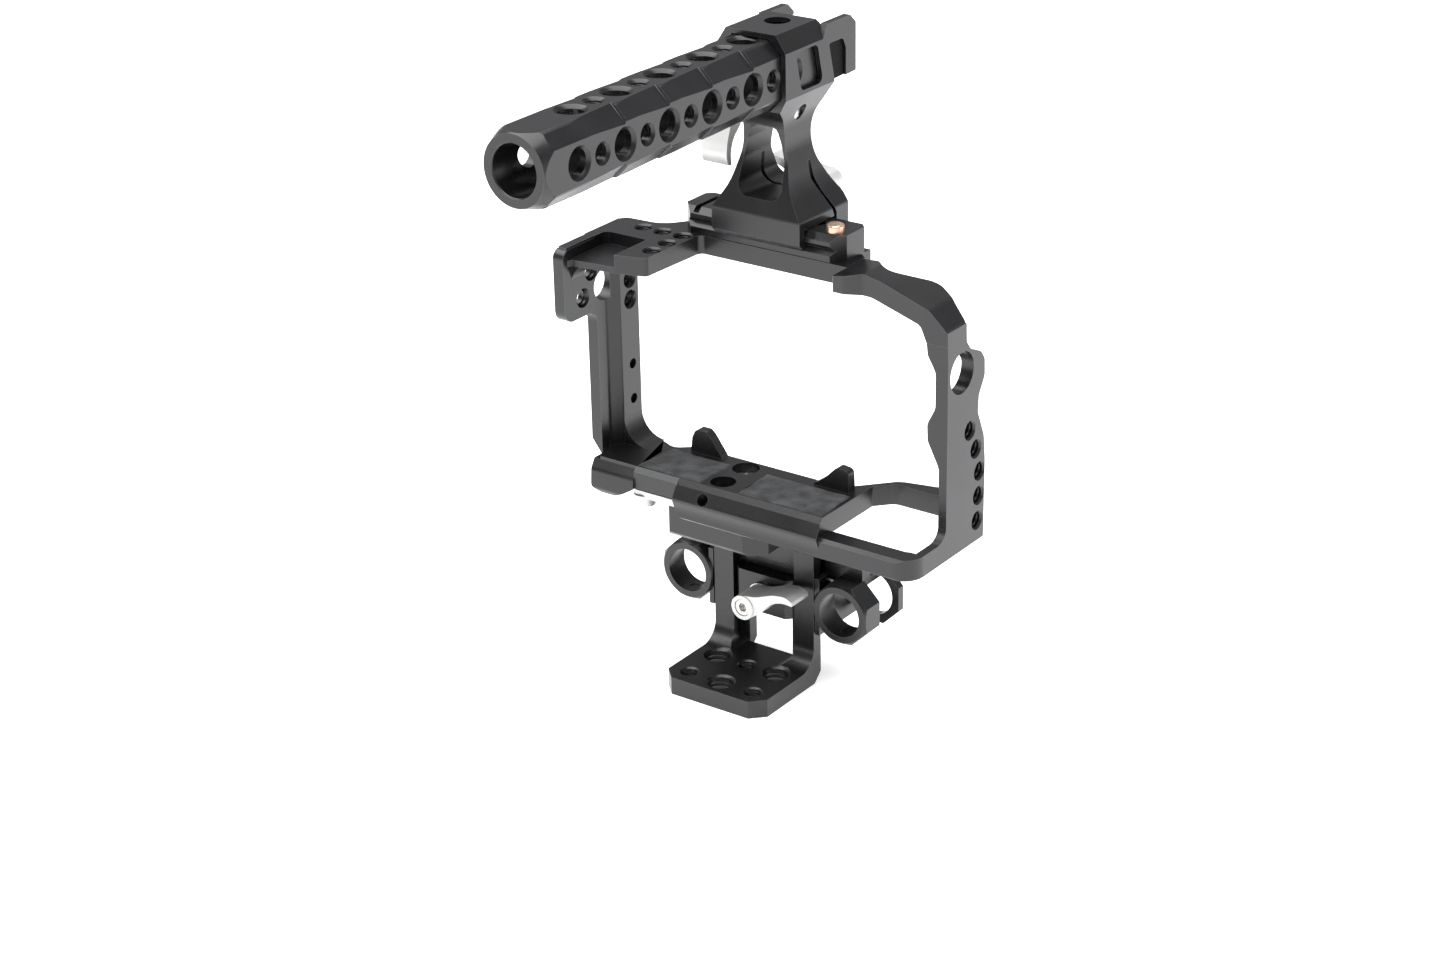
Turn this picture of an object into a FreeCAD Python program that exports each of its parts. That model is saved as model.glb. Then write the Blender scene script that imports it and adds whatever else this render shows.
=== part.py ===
"""Camera cage rig: mirrorless cage, top handle, quick-release foot bracket and 15 mm rod clamp.

Millimetres, +X to the right of the cage, +Y away from the grip's free end, +Z up.
Everything is drawn about the rod axes (Z = 0) and moved at the end, so that the part's origin
is the middle tripod hole at the underside of the foot.
"""
import FreeCAD, Part
import math
import os

V = FreeCAD.Vector

# Rods and their clamp
ROD_R = 7.5            # 15 mm rods
ROD_X = 30.0           # rods at 60 mm centres
RING_HALF = 10.0       # half the width of a ring across its flats
RING_DEPTH = 8.5
FAR_RING_Y = (19.7, 22.5)
CHANNEL_HALF = 20.0    # the bracket slides between the rings
CLAMP_TOP = 17.0

# L bracket
BRACKET_HALF = 19.6
FOOT_Z = (-28.3, -22.2)
FOOT_FRONT = -30.0
PLATE_Y = (1.0, 5.0)
RAIL_BACK = 9.0
WINDOW_HALF = 12.0
SLOT_HALF = 8.5
SLOT_TOP = 3.5
SEAM_Z = 9.5
BRACKET_TOP = 22.2
SCREW_Z = -0.9
TIE_X = 14.2           # screws between bracket and quick-release block
TIE_Y = 4.6

# Tapped holes: quarter inch and three eighths
R_QUARTER = 2.6
R_QUARTER_MOUTH = 3.2
R_THREE8 = 4.05
R_THREE8_MOUTH = 4.8
R_QUARTER_WIDE = 3.5
R_THREE8_WIDE = 5.1

# Quick release
BLOCK_X = (-23.0, 12.3)
BLOCK_FRONT = -19.5
BLOCK_Z = (22.4, 33.0)
QR_PIVOT = (-18.0, -14.0)
PLATE_TOP = 40.2
DECK_SCREW_Y = -7.7
CAMERA_SCREW_Y = -20.1

# Cage
DECK = 47.0            # camera's seat
BASE_BOTTOM = 34.2
BASE_INNER = 71.4      # inner side of the right-hand bar
STRIP_X = 66.0         # the right upright is this thick behind its row of tapped holes
CAGE_RIGHT = 74.3
ROOF = (113.6, 119.6)

# Rail, handle stand and grip
RAIL_X = (-27.5, 32.1)
RAIL_Y = (-2.2, 15.1)
RAIL_MIDDLE = (RAIL_Y[0] + RAIL_Y[1]) / 2
RAIL_TOP = 128.0
RAIL_SCREW_X = (-17.0, 18.0)
SAFETY_PIN = (27.0, 3.0)
STAND_X = 3.0
GRIP_Z = 176.1
GRIP_HALF = 10.8       # half of the grip's width across its flats
GRIP_FLAT = 6.6        # half of the width of its top, bottom and side flats
GRIP_CORNER = 12.5     # the corners between the flats are rounded off at this radius
GRIP_BORE_R = 7.7
GRIP_Y = (-117.3, 20.0)
SLEEVE_HALF = 12.6
SLEEVE_Y = (-6.0, 15.5)
PRONG = 2.4            # thickness of the fork's arms
POCKET = 1.6
PRONG_WINDOW = [(17.0, 181.3, 0.6), (24.6, 181.3, 1.8), (26.2, 178.0, 1), (26.2, 168.0),
                (20.3, 168.0)]
HOLE_PITCH = 10.25
GRIP_FIRST_HOLE = -102.1
GRIP_HOLES = 11
RIDGE_FIRST = -80.7    # where the grip's flats step up, and by how much
RIDGE_STEP = 0.75
RIDGES = 4
GRIP_SCREW = (7.0, 162.0)      # Y and Z of the screw along X that locks the grip
NATO_SCREW = (6.0, 132.4)      # X and Z of the screw along Y that clamps the rail

LEVER_HUB_R = 4.2
LEVER_WIDTH = 10.0

ORIGIN_SHIFT = V(0, 9.0, 28.3)


# ---------------------------------------------------------------- helpers
def box(x0, x1, y0, y1, z0, z1):
    return Part.makeBox(x1 - x0, y1 - y0, z1 - z0, V(x0, y0, z0))


def cylinder(radius, start, end):
    start = V(*start)
    along = V(*end) - start
    return Part.makeCylinder(radius, along.Length, start, along)


def cone(radius0, radius1, start, end):
    start = V(*start)
    along = V(*end) - start
    return Part.makeCone(radius0, radius1, along.Length, start, along)


def outline(points, place):
    """Closed wire through (u, v) corners; a third number rounds its corner to that radius."""
    stops = []
    for i, corner in enumerate(points):
        here = place(corner[0], corner[1])
        if len(corner) < 3:
            stops.append((here, None, here))
            continue
        before = (place(*points[i - 1][:2]) - here).normalize()
        after = (place(*points[(i + 1) % len(points)][:2]) - here).normalize()
        half = before.getAngle(after) / 2
        back = corner[2] / math.tan(half)
        middle = (before + after).normalize() * (corner[2] / math.sin(half) - corner[2])
        stops.append((here + before * back, here + middle, here + after * back))
    edges = []
    for i, (start, middle, end) in enumerate(stops):
        previous = stops[i - 1][2]
        side = place(*points[i][:2]) - place(*points[i - 1][:2])
        if (start - previous).dot(side) < -1e-6:
            raise ValueError("corner radii overlap at %r" % (points[i],))
        if (start - previous).Length > 1e-4:
            edges.append(Part.LineSegment(previous, start).toShape())
        if middle is not None:
            edges.append(Part.Arc(start, middle, end).toShape())
    wire = Part.Wire(edges)
    if not wire.isClosed():
        raise ValueError("outline is open at a corner radius: %r" % (points,))
    return Part.Face(wire)


def prism_x(points, x0, x1):
    """Outline in Y and Z, drawn out along X."""
    return outline(points, lambda y, z: V(x0, y, z)).extrude(V(x1 - x0, 0, 0))


def prism_y(points, y0, y1):
    """Outline in X and Z, drawn out along Y."""
    return outline(points, lambda x, z: V(x, y0, z)).extrude(V(0, y1 - y0, 0))


def prism_z(points, z0, z1):
    """Outline in X and Y, drawn out along Z."""
    return outline(points, lambda x, y: V(x, y, z0)).extrude(V(0, 0, z1 - z0))


def octagon(half):
    corner = half * math.tan(math.pi / 8)
    return [(half, -corner), (half, corner), (corner, half), (-corner, half),
            (-half, corner), (-half, -corner), (-corner, -half), (corner, -half)]


def hexagon(radius, across, up):
    turns = [math.radians(60 * k) for k in range(6)]
    return [(across + radius * math.cos(t), up + radius * math.sin(t)) for t in turns]


def moved_octagon(half, across, up):
    return [(across + u, up + v) for u, v in octagon(half)]


def cut_all(shape, tools):
    return shape.cut(Part.makeCompound(tools)) if tools else shape


def tapped(start, end, radius, mouth):
    """Tapped hole, countersunk where it ends."""
    way = (V(*end) - V(*start)).normalize()
    hole = cylinder(radius, V(*start) - way, V(*end) + way)
    sink = cone(radius, mouth + 0.5, V(*end) - way * (mouth - radius), V(*end) + way * 0.5)
    return hole.fuse(sink)


def quarter(start, end):
    return tapped(start, end, R_QUARTER, R_QUARTER_MOUTH)


def save(name, shape):
    shape = shape.removeSplitter() if shape.ShapeType != "Compound" else shape
    shape.translated(ORIGIN_SHIFT).exportStep("parts/" + name + ".step")


def save_group(name, shapes):
    save(name, Part.makeCompound(shapes))


# ---------------------------------------------------------------- L bracket
def riser_bracket():
    foot_low, foot_high = FOOT_Z
    front, back = PLATE_Y
    foot = prism_z([(-BRACKET_HALF, back), (-BRACKET_HALF, FOOT_FRONT + 4.5),
                    (-BRACKET_HALF + 4.5, FOOT_FRONT), (BRACKET_HALF - 4.5, FOOT_FRONT),
                    (BRACKET_HALF, FOOT_FRONT + 4.5), (BRACKET_HALF, back)], foot_low, foot_high)
    plate = box(-BRACKET_HALF, BRACKET_HALF, front, back, foot_low, BRACKET_TOP)
    window = prism_y([(-WINDOW_HALF, foot_high, 3.5), (WINDOW_HALF, foot_high, 3.5),
                      (WINDOW_HALF, BRACKET_TOP + 1), (-WINDOW_HALF, BRACKET_TOP + 1)],
                     front - 8, back)
    bend = prism_x([(front, foot_high), (front, foot_high + 7), (front - 7, foot_high)],
                   -BRACKET_HALF, BRACKET_HALF)
    bend = bend.cut(cylinder(7, (-25, front - 7, foot_high + 7), (25, front - 7, foot_high + 7)))
    rail = prism_x([(back, -26.0), (RAIL_BACK, -22.0), (RAIL_BACK, BRACKET_TOP),
                    (back, BRACKET_TOP)], -16.5, 16.5)
    slot = prism_y([(-SLOT_HALF, -40), (SLOT_HALF, -40), (SLOT_HALF, SLOT_TOP, 3),
                    (-SLOT_HALF, SLOT_TOP, 3)], back, RAIL_BACK + 1)
    notch = box(-WINDOW_HALF, WINDOW_HALF, front - 1, RAIL_BACK + 1, SEAM_Z, BRACKET_TOP + 1)
    shape = foot.fuse([plate, bend]).cut(window).fuse(rail).cut(slot).cut(notch)
    heel = prism_x([(1.5, foot_low), (back, -25.0), (back + 1, -25.0), (back + 1, foot_low - 1),
                    (1.5, foot_low - 1)], -20, 20)
    holes = []
    for x, y in ((-11.5, -9.0), (11.5, -9.0), (0.0, -23.5)):
        holes.append(tapped((x, y, foot_low), (x, y, foot_high), R_THREE8, R_THREE8_MOUTH))
    for x, y in ((-12.5, -23.5), (0.0, -9.0), (12.5, -23.5)):
        holes.append(quarter((x, y, foot_low), (x, y, foot_high)))
    for x in (-TIE_X, TIE_X):
        holes.append(cylinder(1.6, (x, TIE_Y, 12.0), (x, TIE_Y, BRACKET_TOP + 1)))
    return cut_all(shape.cut(heel), holes)


# ---------------------------------------------------------------- rod clamp
def rod_ring(side, y0, y1, bevel):
    across = side * ROD_X
    ring = prism_y(moved_octagon(RING_HALF, across, 0), y0, y1)
    if bevel:
        keep = cone(RING_HALF - 0.4, RING_HALF + 3, (across, y0, 0), (across, y0 + 3.4, 0))
        rest = cylinder(RING_HALF + 3, (across, y0 + 3.4, 0), (across, y1, 0))
        ring = ring.common(keep.fuse(rest))
    return ring


def rod_clamp_body():
    solids = []
    for side in (-1, 1):
        inner = side * CHANNEL_HALF
        cheek = side * 21.8
        x0, x1 = sorted((inner, cheek))
        solids.append(rod_ring(side, 0, RING_DEPTH, True))
        solids.append(rod_ring(side, FAR_RING_Y[0], FAR_RING_Y[1], False))
        solids.append(box(x0, x1, 1.0, 12.0, -RING_HALF, RING_HALF))
        x0, x1 = sorted((side * 34.0, inner))
        solids.append(box(x0, x1, 7.5, FAR_RING_Y[1], 7.7, RING_HALF))
        solids.append(box(x0, x1, 7.5, 12.0, 7.7, CLAMP_TOP))
    solids.append(box(-21.8, 21.8, RAIL_BACK + 0.3, FAR_RING_Y[1], -RING_HALF, RING_HALF))
    solids.append(box(-34, 34, RAIL_BACK + 0.3, 12.0, RING_HALF - 1, CLAMP_TOP))
    shape = solids[0].fuse(solids[1:])
    tools = [cylinder(2.5, (0, 8, SCREW_Z), (0, 24, SCREW_Z))]
    for side in (-1, 1):
        across = side * ROD_X
        tools.append(cylinder(ROD_R, (across, -1, 0), (across, 24, 0)))
        tools.append(cylinder(1.65, (across, 4.2, -11), (across, 4.2, -5)))
    return cut_all(shape, tools)


def rod_lock_screws():
    screws = []
    for side in (-1, 1):
        across = side * ROD_X
        screw = cylinder(1.6, (across, 4.2, -9.3), (across, 4.2, -7.65))
        hexagon = cylinder(0.8, (across, 4.2, -9.4), (across, 4.2, -8.5))
        screws.append(screw.cut(hexagon))
    return screws


def front_clamp_block():
    front = prism_z([(-9.0, 0.0), (9.0, 0.0), (11.7, 2.7), (11.7, 4.8), (-11.7, 4.8),
                     (-11.7, 2.7)], -7.3, 6.5)
    tongue = prism_y([(-8.2, -7.3), (8.2, -7.3), (8.2, 3.2, 3), (-8.2, 3.2, 3)], 4.8, 8.9)
    hole = cylinder(3.2, (0, -1, SCREW_Z), (0, 10, SCREW_Z))
    return front.fuse(tongue).cut(hole)


# ---------------------------------------------------------------- clamp levers
def wing_lever(width):
    """Lever with its hub along +Y from the origin and its S-shaped blade towards +X."""
    blade = [(0.0, LEVER_HUB_R), (5.0, 4.9, 12), (11.5, 7.4, 9), (16.5, 8.2, 6), (19.1, 6.8, 1),
             (19.1, 5.4), (15.5, 5.7, 8), (11.0, 4.3, 8), (7.5, 0.2, 9), (2.4, -3.4)]
    hub = cylinder(LEVER_HUB_R, (0, 0, 0), (0, width, 0))
    wing = prism_y(blade, 0.4, width)
    shape = hub.fuse(wing)
    recess = cylinder(2.9, (0, -1, 0), (0, 2.2, 0))
    bore = cylinder(2.55, (0, 0, 0), (0, width + 1, 0))
    return shape.cut(recess).cut(bore)


def lever_screw(width, reach):
    """Socket cap screw in a lever's hub: head in the recess, shank out of the far end."""
    head = cylinder(2.8, (0, 0.3, 0), (0, 2.2, 0))
    shank = cylinder(2.45, (0, 2.2, 0), (0, width + reach, 0))
    socket = prism_y(hexagon(1.5, 0, 0), 0, 1.8)
    return head.fuse(shank).cut(socket)


def placed(shape, place, turns=()):
    """Copy turned about the origin, then moved; each turn is an axis and degrees."""
    moved = shape.copy()
    for axis, degrees in turns:
        moved.rotate(V(0, 0, 0), V(*axis), degrees)
    moved.translate(V(*place))
    return moved


def washer(start, end, radius=4.6):
    return cylinder(radius, start, end).cut(cylinder(2.6, start, end))


# ---------------------------------------------------------------- quick release
def quick_release_block():
    x0, x1 = BLOCK_X
    low, high = BLOCK_Z
    plan = [(x0, BLOCK_FRONT + 1), (x0 + 1, BLOCK_FRONT), (x1 - 6, BLOCK_FRONT),
            (x1, BLOCK_FRONT + 6), (x1, RAIL_BACK), (-16, RAIL_BACK), (x0, 2)]
    block = prism_z(plan, low, high)
    bevel = prism_x([(BLOCK_FRONT - 1, low - 1), (BLOCK_FRONT - 1, low + 2.5),
                     (BLOCK_FRONT, low + 1.5), (BLOCK_FRONT + 1.5, low),
                     (BLOCK_FRONT + 1.5, low - 1)], x0 - 1, x1 + 1)
    rear_bar = box(-BRACKET_HALF, BRACKET_HALF, PLATE_Y[0], RAIL_BACK, low, 29.0)
    tongue = box(-WINDOW_HALF + 0.1, WINDOW_HALF - 0.1, PLATE_Y[1], RAIL_BACK, SEAM_Z + 0.1, low)
    shape = block.cut(bevel).fuse([rear_bar, tongue])
    lips = prism_x([(-5.6, high), (-3.0, high), (-3.0, 36.2), (-5.0, 36.2)], x0 + 8, x1)
    x, y = QR_PIVOT
    tools = [cylinder(3.3, (0, DECK_SCREW_Y, 20), (0, DECK_SCREW_Y, 40)),
             cylinder(5.5, (0, DECK_SCREW_Y, 20), (0, DECK_SCREW_Y, 26)),
             cylinder(1.6, (x, y, 25), (x, y, 34))]
    for x in (-TIE_X, TIE_X):
        tools.append(cylinder(1.65, (x, TIE_Y, 20), (x, TIE_Y, 40)))
        tools.append(cylinder(2.8, (x, TIE_Y, 26.0), (x, TIE_Y, 40)))
    return cut_all(shape.fuse(lips), tools)


def dovetail_plate():
    """Plate screwed under the deck; its dovetail drops into the quick-release block."""
    plate = box(-11, 12, -15.5, -6.3, 33.2, 36.4)
    pad = box(-11, 12, -15.5, -3.2, 36.4, PLATE_TOP)
    foot = prism_x([(-6.3, 33.2), (-5.9, 33.2), (-5.3, 36.4), (-6.3, 36.4)], -11, 12)
    hole = cylinder(3.3, (0, DECK_SCREW_Y, 30), (0, DECK_SCREW_Y, 42))
    return plate.fuse([pad, foot]).cut(hole)


def deck_screw():
    """Quarter-inch cap screw that holds the dovetail plate under the deck."""
    head = cylinder(4.3, (0, DECK_SCREW_Y, 41.0), (0, DECK_SCREW_Y, 44.0))
    shank = cylinder(3.15, (0, DECK_SCREW_Y, 33.4), (0, DECK_SCREW_Y, 41.0))
    socket = prism_z(hexagon(2.3, 0, DECK_SCREW_Y), 42.0, 45.0)
    return head.fuse(shank).cut(socket)


def quick_release_lever():
    bar = prism_z([(-36.8, -20.0, 2.6), (-15.5, -20.0, 1), (-14.0, -17.0, 1), (-14.0, -11.0, 2.8),
                   (-21.0, -11.0, 1.5), (-24.0, -14.5, 2), (-36.8, -14.5, 2.6)], 33.3, 35.6)
    knob = cylinder(3.6, (-33.4, -17.2, 30.2), (-33.4, -17.2, 34.0))
    x, y = QR_PIVOT
    return bar.fuse(knob).cut(cylinder(1.9, (x, y, 30), (x, y, 40)))


def quick_release_pivot():
    x, y = QR_PIVOT
    head = cylinder(3.0, (x, y, 35.8), (x, y, 37.6))
    shank = cylinder(1.85, (x, y, 33.0), (x, y, 35.8))
    thread = cylinder(1.6, (x, y, 25.5), (x, y, 33.0))
    socket = cylinder(1.2, (x, y, 36.4), (x, y, 38.0))
    return head.fuse([shank, thread]).cut(socket)


def bracket_screws():
    """Two cap screws that tie the bracket's legs up to the quick-release block."""
    screws = []
    for x in (-TIE_X, TIE_X):
        head = cylinder(2.65, (x, TIE_Y, 26.0), (x, TIE_Y, 28.8))
        shank = cylinder(1.6, (x, TIE_Y, 12.5), (x, TIE_Y, 26.0))
        socket = prism_z(hexagon(1.3, x, TIE_Y), 27.2, 29.0)
        screws.append(head.fuse(shank).cut(socket))
    return screws


# ---------------------------------------------------------------- cage
def deck():
    plan = [(-44.5, -25.4), (41.0, -25.4), (41.0, 2.5, 1), (46.0, 7.8, 4), (71.6, 7.8, 2),
            (71.6, -7.8), (CAGE_RIGHT, -7.8), (CAGE_RIGHT, 14.0, 2), (60.0, 13.6, 20),
            (46.0, 10.5, 8), (34.0, -2.6, 6), (-10.0, -2.6, 6), (-24.0, -3.0, 3), (-29.0, -7.0, 4),
            (-38.0, -3.0, 8), (-50.9, -3.0), (-50.9, -12.0)]
    return prism_z(plan, PLATE_TOP, DECK)


def deck_lip():
    profile = [(-20.5, DECK), (-25.4, DECK), (-26.7, 45.3), (-29.2, 41.0, 2), (-27.8, 37.4, 6),
               (-28.0, BASE_BOTTOM + 0.6), (-27.4, BASE_BOTTOM), (-20.5, BASE_BOTTOM)]
    lip = prism_x(profile, -13.5, 41.0)
    face = prism_y([(-13.5, BASE_BOTTOM, 4), (41.0, BASE_BOTTOM, 4), (41.0, DECK), (-13.5, DECK)],
                   -31, -20.5)
    return lip.common(face)


def left_front():
    nose = prism_x([(-12.0, DECK), (-25.4, DECK), (-26.9, 45.6), (-26.9, PLATE_TOP), (-12.0, PLATE_TOP)],
                   -30.0, -13.0)
    tab = prism_x([(-12.0, 46.0), (-25.4, 46.0), (-27.5, 43.0, 3), (-28.3, 37.0, 1), (-27.2, 35.0, 1),
                   (-25.0, 36.0, 2), (-22.0, 39.5, 3), (-12.0, 40.2)], -47.0, -30.0)
    face = prism_y([(-47.0, 46.5), (-46.5, 37.0, 2), (-40.0, 34.4, 3), (-34.0, 37.2, 4),
                    (-29.0, PLATE_TOP, 3), (-29.0, 46.5)], -30, -10)
    return nose.fuse(tab.common(face))


def base_frame():
    near = prism_x([(-20.5, BASE_BOTTOM), (-27.4, BASE_BOTTOM), (-27.9, BASE_BOTTOM + 0.5),
                    (-27.9, 40.0), (-26.9, 41.0), (-20.5, 41.0)], 38.0, CAGE_RIGHT)
    right = box(BASE_INNER, CAGE_RIGHT, -27.9, 8.0, BASE_BOTTOM, 41.0)
    plan = prism_z([(38, -27.9), (CAGE_RIGHT, -27.9, 7), (CAGE_RIGHT, 8.0), (BASE_INNER, 8.0),
                    (BASE_INNER, -21.0, 4), (38, -21.0)], BASE_BOTTOM, 41.0)
    fillet = prism_x([(-12.8, 41.0), (-7.8, 41.0), (-7.8, 46.0)], BASE_INNER, CAGE_RIGHT)
    fillet = fillet.cut(cylinder(5.0, (60, -12.8, 46.0), (80, -12.8, 46.0)))
    return near.fuse(right).common(plan).fuse(fillet)


def rear_lugs():
    """Two fins behind the seat that keep the camera from turning."""
    left = [(-22.7, DECK - 0.5), (-10.0, DECK - 0.5), (-10.9, DECK + 1.0), (-15.0, DECK + 6.6, 3),
            (-16.6, DECK + 8.0, 1), (-20.6, DECK + 8.0, 2), (-22.0, DECK + 5.0)]
    right = [(24.4, DECK - 0.5), (38.0, DECK - 0.5), (37.7, DECK + 7.2, 1.6),
             (33.4, DECK + 7.8, 2), (29.0, DECK + 3.4, 6), (25.2, DECK + 0.8)]
    return [prism_y(points, -6.2, -2.8) for points in (left, right)]


def left_arm():
    section = [(-51.0, -21.0), (-47.0, -21.0), (-47.0, -16.8, 2.5), (-44.0, -12.9, 0.8),
               (-44.0, -3.5), (-51.0, -3.5)]
    arm = prism_z(section, PLATE_TOP, ROOF[1])
    lower = prism_y([(-51.5, 51.0), (-41.0, 37.0), (-41.0, 120.0), (-51.5, 120.0)], -22, -3)
    fillet = prism_y([(-44.0, DECK), (-35.0, DECK), (-44.0, DECK + 9.0)], -12.9, -3.5)
    fillet = fillet.cut(cylinder(9.0, (-35.0, -14, DECK + 9.0), (-35.0, -3, DECK + 9.0)))
    ear = prism_x([(-37.0, 95.0, 4), (-37.0, 119.0, 3), (-17.0, 119.0), (-17.0, 86.0),
                   (-21.0, 86.0), (-21.0, 95.0, 4)], -51.0, -47.0)
    return arm.common(lower).fuse([fillet, ear])


def roof():
    low, high = ROOF
    plate = prism_z([(-50.6, -35.0, 1), (-46.8, -35.0), (-46.2, -33.4), (-31.0, -31.6),
                     (-21.0, -28.8, 1.5), (-19.8, -2.5, 2), (34.7, -2.5), (34.7, 7.7),
                     (32.0, 10.0, 1), (32.0, 15.0), (-24.0, 15.0, 4),
                     (-36.0, -0.5, 10), (-50.6, -1.4, 3)], low, high)
    pocket = prism_z([(-47.2, -40), (-31.2, -40), (-31.2, -15.0, 1), (-47.2, -15.2, 1)],
                     115.6, high + 1)
    beam = box(-22, 32.0, 7.5, 15.0, 110.0, low + 0.5)
    corner = prism_y([(-47.2, 114.0), (-41.0, 114.0), (-47.2, 107.5)], -33.0, -3.6)
    corner = corner.cut(cylinder(6.5, (-40.7, -40, 107.3), (-40.7, 0, 107.3)))
    return plate.cut(pocket).fuse([beam, corner])


def shoulder():
    front = prism_y([(34.0, 114.0), (47.0, 114.0, 8), (64.6, 109.1, 3), (66.9, 104.0),
                     (CAGE_RIGHT, 104.0), (73.9, 108.7, 3), (67.6, 114.4, 5), (50.5, 119.6, 10),
                     (44.0, 120.8, 6), (34.0, 119.0)], -10.0, 15.0)
    plan = prism_z([(34.0, -9.8, 1), (38.5, -9.8, 3), (43.5, -7.4, 4), (66.0, -8.5, 30),
                    (CAGE_RIGHT, -8.5), (CAGE_RIGHT, 2.1), (69.0, 4.0, 6), (60.5, 8.6, 5),
                    (47.0, -0.6, 6), (40.5, 6.4, 4), (34.0, 8.0)], 100, 122)
    return front.common(plan)


def right_arm():
    side = prism_x([(-8.0, BASE_BOTTOM), (14.0, BASE_BOTTOM), (14.2, 60.0, 20), (13.3, 68.5, 6),
                    (9.5, 77.4, 4), (9.9, 82.8, 4), (13.2, 88.2, 3), (13.0, 93.8, 3),
                    (10.6, 96.9, 3), (4.7, 99.5, 3), (2.4, 102.5, 3), (2.1, 108.5), (-8.5, 108.5),
                    (-8.0, 98.0)], 64.0, CAGE_RIGHT)
    front = prism_y([(71.6, 30.0), (71.6, 64.0, 10), (67.3, 72.5, 4), (67.1, 78.0, 4),
                     (69.9, 83.5, 4), (69.9, 95.0, 4), (67.1, 100.0, 4), (66.4, 109.0),
                     (CAGE_RIGHT, 109.0), (CAGE_RIGHT, 30.0)], -10, 16)
    strip = prism_x([(0.8, BASE_BOTTOM), (14.0, BASE_BOTTOM), (14.2, 60.0, 20), (13.3, 67.0, 4),
                     (9.6, 77.2, 3), (0.8, 77.2, 3)], STRIP_X, CAGE_RIGHT - 0.5)
    holes = [cylinder(6.7, (60, -0.1, 93.3), (80, -0.1, 93.3))]
    row = ((5.0, 72.8), (8.7, 65.5), (11.0, 57.3), (10.7, 49.2), (10.1, 41.0))
    for k, (y, z) in enumerate(row):    # each is a little shallower than the one above it
        holes.append(quarter((STRIP_X + 1.8 + 0.4 * k, y, z), (CAGE_RIGHT, y, z)))
    return side.common(front).fuse(strip), holes


def cage_holes():
    holes = []
    for z in (102.0, 95.0):
        holes.append(quarter((-51, -7.7, z), (-44, -7.7, z)))
    for z in (73.0, 61.0):
        holes.append(cylinder(1.7, (-52, -7.5, z), (-43, -7.5, z)))
    holes.append(cylinder(5.2, (-52, -17.0, 102.4), (-46, -17.0, 102.4)))
    for y, z in ((-27.8, 101.1), (-23.3, 108.7)):
        holes.append(quarter((-51, y, z), (-47, y, z)))
    for x, y in ((-39.2, -6.0), (-31.7, -6.0), (-24.0, -6.0), (-24.0, -14.0), (-24.0, -22.0)):
        holes.append(quarter((x, y, ROOF[0]), (x, y, ROOF[1])))
    for y, seat, radius in ((DECK_SCREW_Y, 41.0, 4.5), (CAMERA_SCREW_Y, 43.0, 4.2)):
        holes.append(cylinder(radius, (0, y, seat), (0, y, 50)))
        holes.append(cylinder(3.3, (0, y, 30), (0, y, 45)))
    holes.append(cylinder(5.6, (0, CAMERA_SCREW_Y, 30), (0, CAMERA_SCREW_Y, PLATE_TOP)))
    for x in RAIL_SCREW_X:
        holes.append(cylinder(1.6, (x, RAIL_MIDDLE, 108), (x, RAIL_MIDDLE, 121)))
    holes.append(cylinder(2.0, (-2.4, -23.7, 40.5), (-2.4, -30.6, 44.5)))
    return holes


def cage_frame():
    arm, arm_holes = right_arm()
    pieces = [deck_lip(), left_front(), base_frame(), left_arm(), roof(), shoulder(), arm]
    shape = deck().fuse(pieces + rear_lugs())
    pads = [pad_shape(side, 0.05) for side in ("left", "right")]
    shape = cut_all(shape, cage_holes() + arm_holes + pads)
    return shape


def pad_shape(side, grow):
    z0 = DECK - 0.4
    if side == "left":
        corners = [(-29.5, -24.6), (-5.6, -24.6), (-5.6, -8.6), (-27.5, -8.6)]
    else:
        corners = [(8.5, -24.6), (39.5, -24.6), (39.5, -8.0), (8.5, -8.0)]
    return prism_z(corners, z0 - grow, DECK + 0.5)


# ---------------------------------------------------------------- rail and handle
def nato_rail():
    x0, x1 = RAIL_X
    y0, y1 = RAIL_Y
    top = RAIL_TOP
    section = [(y0, ROOF[1]), (y0, 121.8), (y0 + 1.5, 123.3), (y0, 124.8), (y0, top - 1.9),
               (y0 + 1.9, top), (y1 - 1.9, top), (y1, top - 1.9), (y1, 124.8), (y1 - 1.5, 123.3),
               (y1, 121.8), (y1, ROOF[1])]
    plan = prism_z([(x0 + 3.8, y0), (x1 - 3.8, y0), (x1, y0 + 3.8), (x1, y1 - 3.8),
                    (x1 - 3.8, y1), (x0 + 3.8, y1), (x0, y1 - 3.8), (x0, y0 + 3.8)],
                   ROOF[1] - 1, top + 1)
    tools = [box(-22.7, -20.7, y0 - 1, y1 + 1, top - 1.6, top + 1),
             cylinder(2.88, (*SAFETY_PIN, 121.0), (*SAFETY_PIN, top + 1))]
    for x in RAIL_SCREW_X:
        tools.append(cylinder(2.9, (x, RAIL_MIDDLE, top - 3.6), (x, RAIL_MIDDLE, top + 1)))
        tools.append(cylinder(1.7, (x, RAIL_MIDDLE, ROOF[1] - 1), (x, RAIL_MIDDLE, top)))
    return cut_all(prism_x(section, x0, x1).common(plan), tools)


def rail_screws():
    screws = []
    y = RAIL_MIDDLE
    for x in RAIL_SCREW_X:
        head = cylinder(2.75, (x, y, RAIL_TOP - 3.5), (x, y, RAIL_TOP - 0.8))
        shank = cylinder(1.6, (x, y, 113.8), (x, y, RAIL_TOP - 3.5))
        socket = prism_z(hexagon(1.4, x, y), RAIL_TOP - 2.2, RAIL_TOP)
        screws.append(head.fuse(shank).cut(socket))
    return screws


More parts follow.
